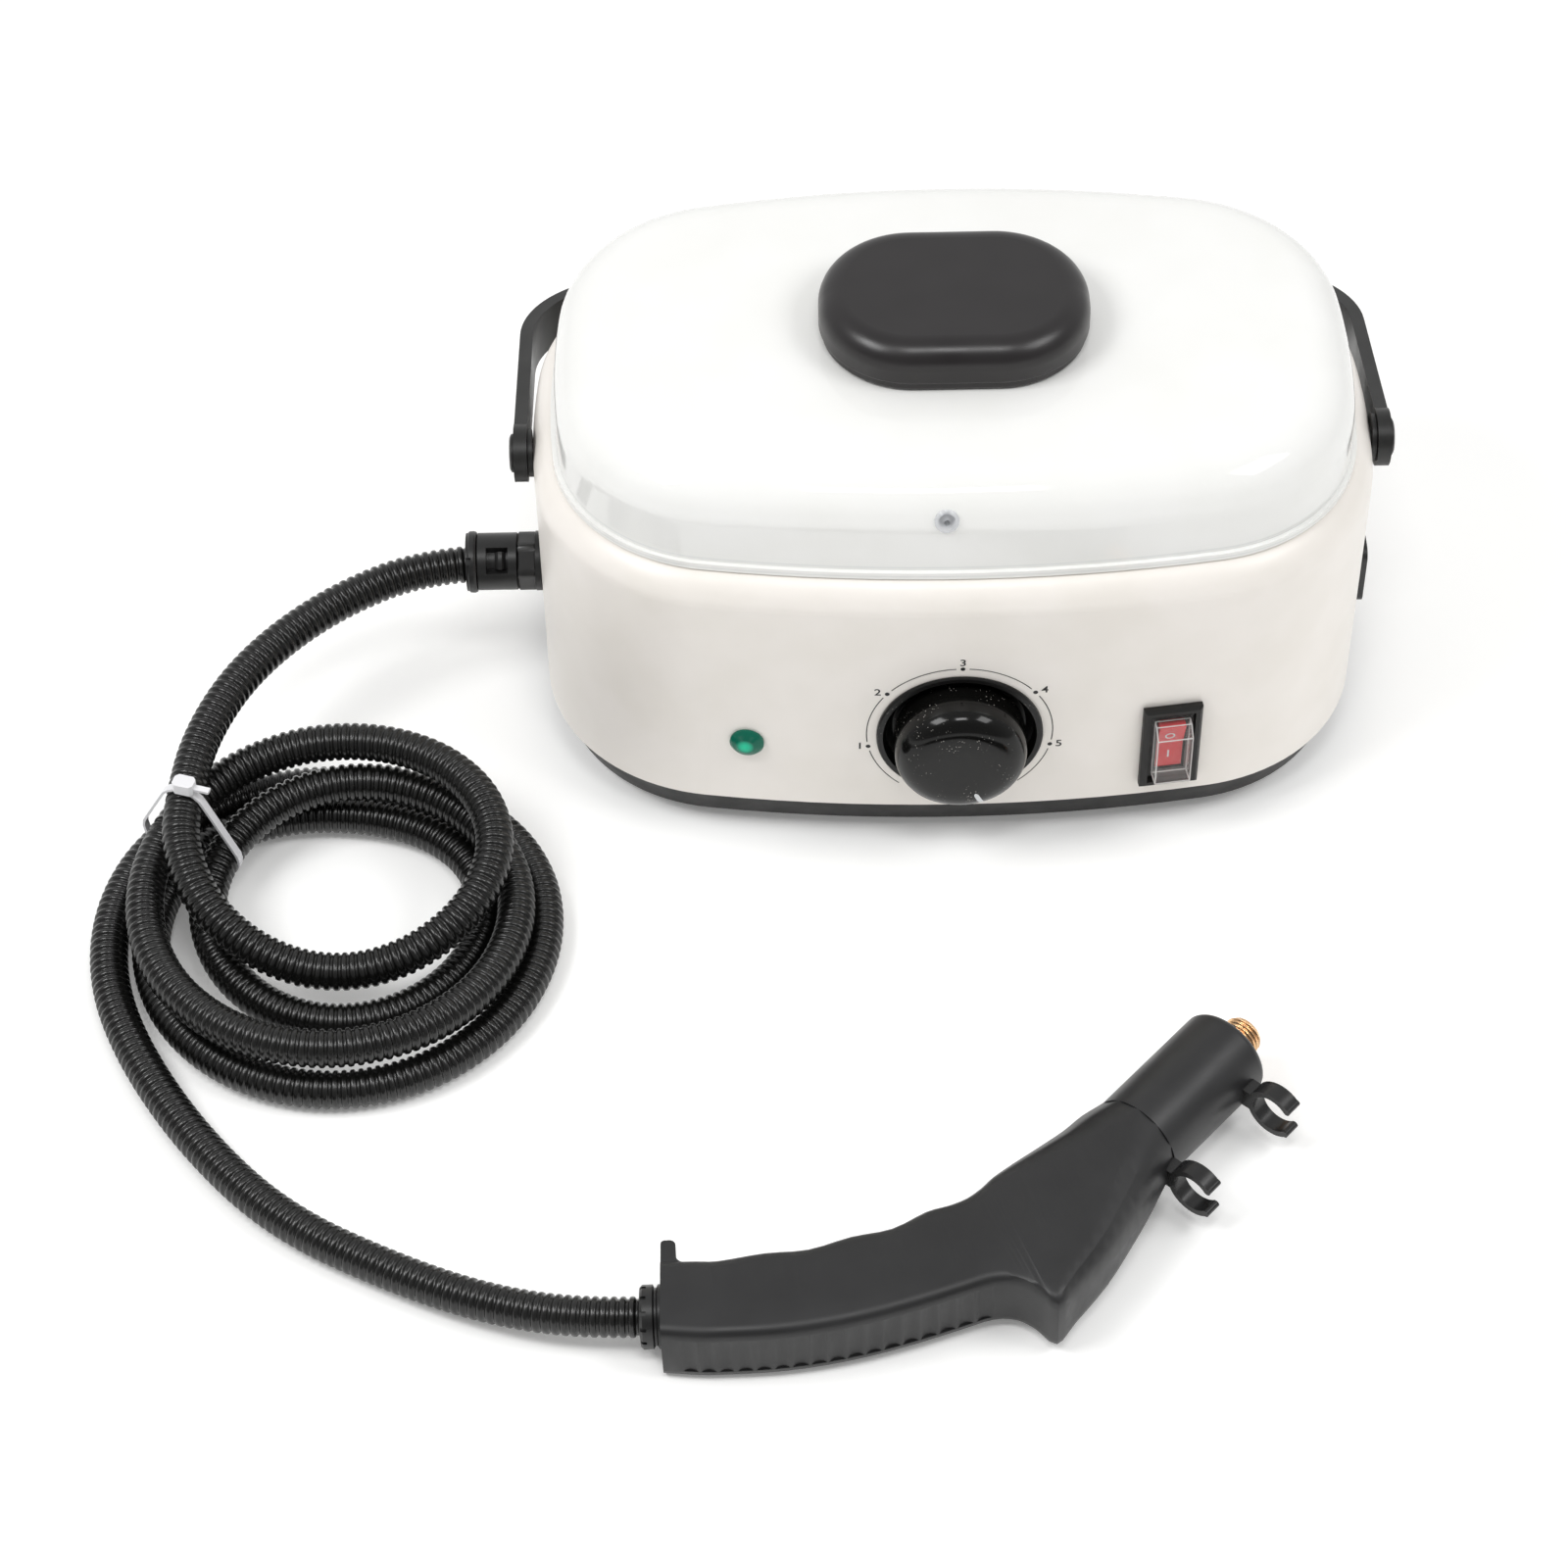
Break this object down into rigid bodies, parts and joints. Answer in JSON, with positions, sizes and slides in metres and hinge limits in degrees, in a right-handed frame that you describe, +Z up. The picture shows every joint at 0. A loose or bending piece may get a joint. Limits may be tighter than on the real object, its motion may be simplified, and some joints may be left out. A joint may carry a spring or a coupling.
{
  "type": "wallpaper steamer",
  "caption": "Wallpaper steamer with a clear-lidded tank, dial and rocker switch, carrying handle, and a coiled corrugated hose to a pistol-shaped steam gun.",
  "frame": {"origin": "on the floor plane under the middle of the housing", "axes": "+X to the right seen from the front, +Y to the back, +Z up"},
  "size_m": [0.5416, 0.5044, 0.2115],
  "materials": {
    "housing": "glossy",
    "base": "satin",
    "foot": "matte",
    "screw": "plated",
    "tank": "glossy",
    "filter": "satin",
    "bezel": "satin",
    "regulator": "satin",
    "lamp_lens": "glossy",
    "lamp_holder": "satin",
    "switch_frame": "satin",
    "switch_body": "satin",
    "switch_boot": "clear",
    "gland": "satin",
    "gland_ring": "satin",
    "gland_nut": "satin",
    "inlet": "satin",
    "inlet_pins": "plated",
    "handle_pin": "satin",
    "bush": "satin",
    "nut": "plated",
    "pump": "satin",
    "cradle": "matte",
    "boiler": "cast",
    "element": "plain",
    "cutout": "satin",
    "silicone": "satin",
    "board": "satin",
    "standoff": "satin",
    "grip": "satin",
    "collar": "satin",
    "barrel": "glossy",
    "nozzle": "machined",
    "clips": "satin",
    "button_switch": "satin",
    "hose": "satin",
    "tie": "satin",
    "lid": "clear",
    "vent": "satin",
    "knob": "satin",
    "handle": "satin",
    "dial_knob": "satin",
    "shaft": "machined",
    "rocker": "glossy",
    "steam_button": "glossy"
  },
  "bodies": {
    "unit": {"body_shell": "housing", "base_pan": "base", "rubber_feet": "foot", "base_screws": "screw", "water_tank": "tank", "tank_filter": "filter", "dial_bezel": "bezel", "dial_regulator": "regulator", "lamp_lens": "lamp_lens", "lamp_holder": "lamp_holder", "switch_frame": "switch_frame", "switch_body": "switch_body", "switch_boot": "switch_boot", "gland_body": "gland", "gland_lock_ring": "gland_ring", "gland_nut": "gland_nut", "inlet_socket": "inlet", "inlet_pins": "inlet_pins", "inlet_screws": "screw", "handle_pins": "handle_pin", "handle_bushes": "bush", "handle_nuts": "nut", "pump_body": "pump", "pump_cradles": "cradle", "boiler_block": "boiler", "heating_element_ends": "element", "thermal_cutout": "cutout", "suction_tube": "silicone", "feed_tube": "silicone", "steam_tube": "silicone", "control_board": "board", "board_standoffs": "standoff", "grip_shell_upper": "grip", "grip_shell_lower": "grip", "grip_screws": "screw", "hose_collar": "collar", "barrel_sleeve": "barrel", "brass_nozzle": "nozzle", "gun_steam_tube": "silicone", "accessory_clips": "clips", "button_switch": "button_switch", "hose_lead": "hose", "hose_coil": "hose", "hose_tail": "hose", "cable_tie": "tie"},
    "lid_assembly": {"lid": "lid", "lid_vent": "vent", "lid_knob_base": "knob", "lid_knob_cap": "knob", "lid_knob_screws": "screw"},
    "handle": {"carry_handle": "handle"},
    "dial": {"dial_knob": "dial_knob", "dial_shaft": "shaft"},
    "rocker": {"switch_rocker": "rocker"},
    "button": {"steam_button": "steam_button"}
  },
  "joints": [
    {"name": "lid_lift", "type": "slide", "parent": "unit", "child": "lid_assembly", "axis": [0, 0, 1], "range_m": [0, 0.12]},
    {"name": "handle_swing", "type": "hinge", "parent": "unit", "child": "handle", "pos_m": [0, -0.009, 0.133], "axis": [1, 0, 0], "range_deg": [0, 203]},
    {"name": "dial_turn", "type": "hinge", "parent": "unit", "child": "dial", "pos_m": [0, -0.11125, 0.0664], "axis": [0, -1, -0.0052], "range_deg": [0, 316]},
    {"name": "rocker_tilt", "type": "hinge", "parent": "unit", "child": "rocker", "pos_m": [0.08711, -0.10327, 0.05321], "axis": [-0.9914, -0.1305, 0], "range_deg": [0, 16]},
    {"name": "button_press", "type": "slide", "parent": "unit", "child": "button", "axis": [0.6513, -0.7587, 0.0148], "range_m": [0, 0.002], "stiffness_N_per_m": 700, "springref_m": -0.0005}
  ]
}
